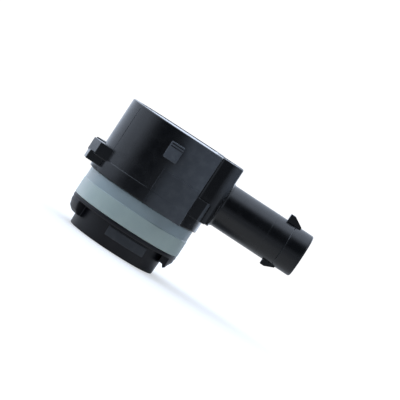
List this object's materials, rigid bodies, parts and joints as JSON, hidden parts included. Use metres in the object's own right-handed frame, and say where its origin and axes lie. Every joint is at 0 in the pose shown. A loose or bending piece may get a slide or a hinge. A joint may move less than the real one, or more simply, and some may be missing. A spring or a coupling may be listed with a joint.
{
  "type": "ultrasonic distance sensor",
  "caption": "Bumper-mounted ultrasonic distance sensor: round black housing with an angled plug socket, wing lugs, a grey seal ring and a black sleeve round the membrane.",
  "frame": {"origin": "centre of the sensing face, which the part stands on", "axes": "+Z along the sensor axis from the sensing face to the rear rim, +X along the plug socket, Y across the symmetric moulding"},
  "size_m": [0.045, 0.0254, 0.026],
  "materials": {
    "housing_plastic": "satin moulded",
    "potting": "gloss",
    "board": "solder mask",
    "chip_body": "matte",
    "ferrite": "matte",
    "copper": "enamelled wire",
    "capacitor_case": "satin",
    "chip_ceramic": "matte",
    "contact_metal": "tinned",
    "carrier_plastic": "matte",
    "membrane": "black coated",
    "piezo_ceramic": "silvered",
    "damping_foam": "foam",
    "ring_silicone": "translucent satin",
    "sleeve_rubber": "matte moulded"
  },
  "bodies": {
    "sleeve": {"decoupling_sleeve": "sleeve_rubber"},
    "ring": {"seal_ring": "ring_silicone"},
    "sensor": {"sensor_housing": "housing_plastic", "rear_potting": "potting", "circuit_board": "board", "signal_ic": "chip_body", "transformer_core": "ferrite", "transformer_winding": "copper", "tantalum_capacitor": "capacitor_case", "ceramic_capacitor_1": "chip_ceramic", "ceramic_capacitor_2": "chip_ceramic", "ceramic_capacitor_3": "chip_ceramic", "resistor_1": "chip_body", "resistor_2": "chip_body", "resistor_3": "chip_body", "resistor_4": "chip_body", "contact_pin_1": "contact_metal", "contact_pin_2": "contact_metal", "contact_pin_3": "contact_metal", "transducer_pin_1": "contact_metal", "transducer_pin_2": "contact_metal", "contact_carrier": "carrier_plastic", "membrane_cup": "membrane", "piezo_disc": "piezo_ceramic", "damping_pad": "damping_foam", "piezo_lead_1": "copper", "piezo_lead_2": "copper"}
  },
  "joints": [
    {"name": "ring_lift", "type": "slide", "parent": "sleeve", "child": "ring", "axis": [0, 0, 1], "range_m": [0, 0.0102]},
    {"name": "sensor_pull", "type": "slide", "parent": "ring", "child": "sensor", "axis": [0, 0, 1], "range_m": [0, 0.006]}
  ]
}
